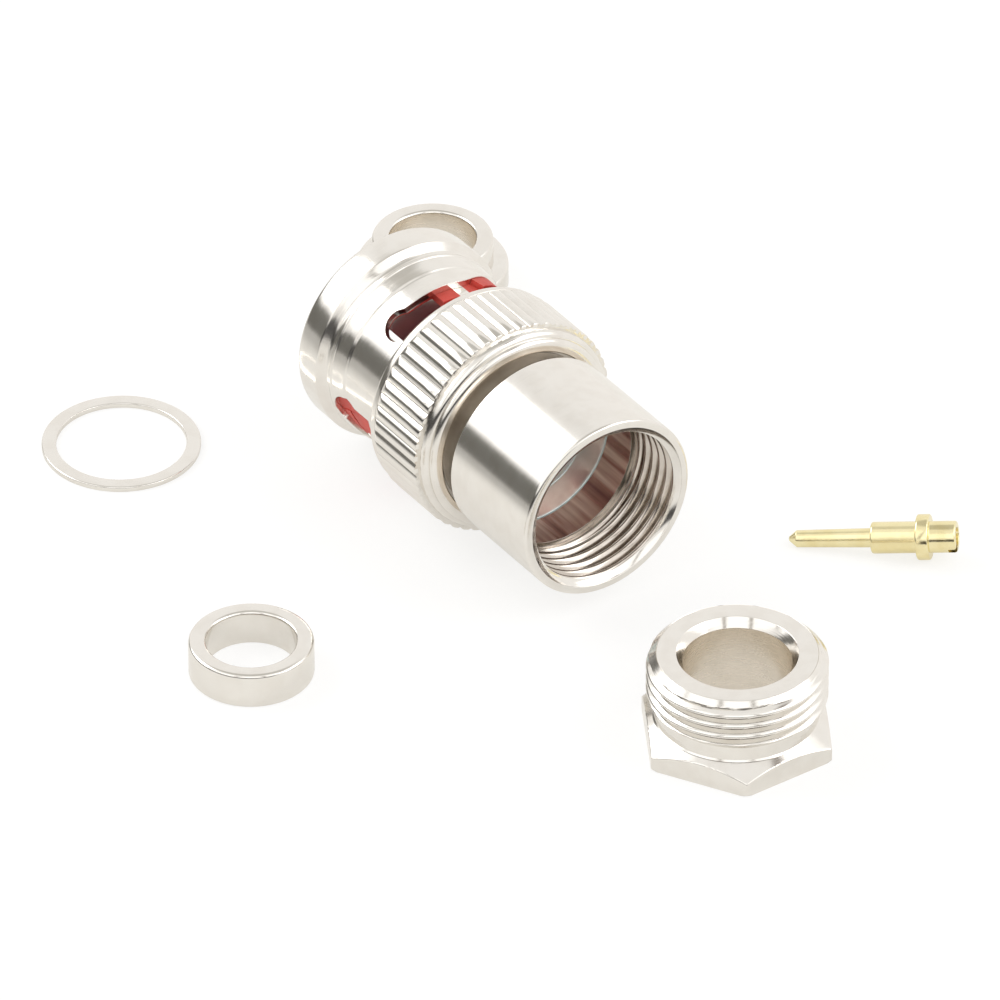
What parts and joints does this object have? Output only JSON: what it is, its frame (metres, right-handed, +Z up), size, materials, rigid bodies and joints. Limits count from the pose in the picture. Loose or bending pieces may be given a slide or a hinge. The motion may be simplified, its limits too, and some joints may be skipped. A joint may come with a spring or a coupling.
{
  "type": "bnc connector",
  "caption": "Clamp-type coaxial plug with a bayonet coupling nut, shown with its clamp nut, rings, washer and centre pin laid beside it.",
  "frame": {"origin": "centre of the cable thread's mouth, on the plug's axis", "axes": "+Y along the plug's axis towards the mating end, +Z up from the surface that everything lies on"},
  "size_m": [0.0463, 0.0602, 0.0144],
  "materials": {
    "nickel_plate": "polished nickel plating",
    "silver_plate": "satin silver plating",
    "ptfe": "waxy white",
    "red_silicone": "satin red",
    "spring_steel": "satin",
    "gold_plate": "polished gold plating"
  },
  "bodies": {
    "plug": {"plug_body": "nickel_plate", "outer_contact": "silver_plate", "insulator": "ptfe", "front_gasket": "red_silicone", "spring_washer_rear": "spring_steel", "spring_washer_front": "spring_steel", "clamp_nut": "nickel_plate", "braid_clamp": "nickel_plate", "clamp_ring": "nickel_plate", "clamp_washer": "nickel_plate", "centre_pin": "gold_plate"},
    "thrust_washer": {"thrust_washer": "spring_steel"},
    "coupling": {"coupling_nut": "nickel_plate", "slot_liner": "red_silicone", "retaining_ring": "spring_steel"}
  },
  "joints": [
    {"name": "coupling_slide", "type": "slide", "parent": "plug", "child": "thrust_washer", "axis": [0, 1, 0], "range_m": [0, 0.0012], "stiffness_N_per_m": 8000, "deforming": ["spring_washer_rear", "spring_washer_front"]},
    {"name": "coupling_turn", "type": "hinge", "parent": "thrust_washer", "child": "coupling", "pos_m": [0, 0.015, 0], "axis": [0, 1, 0], "continuous": true}
  ]
}
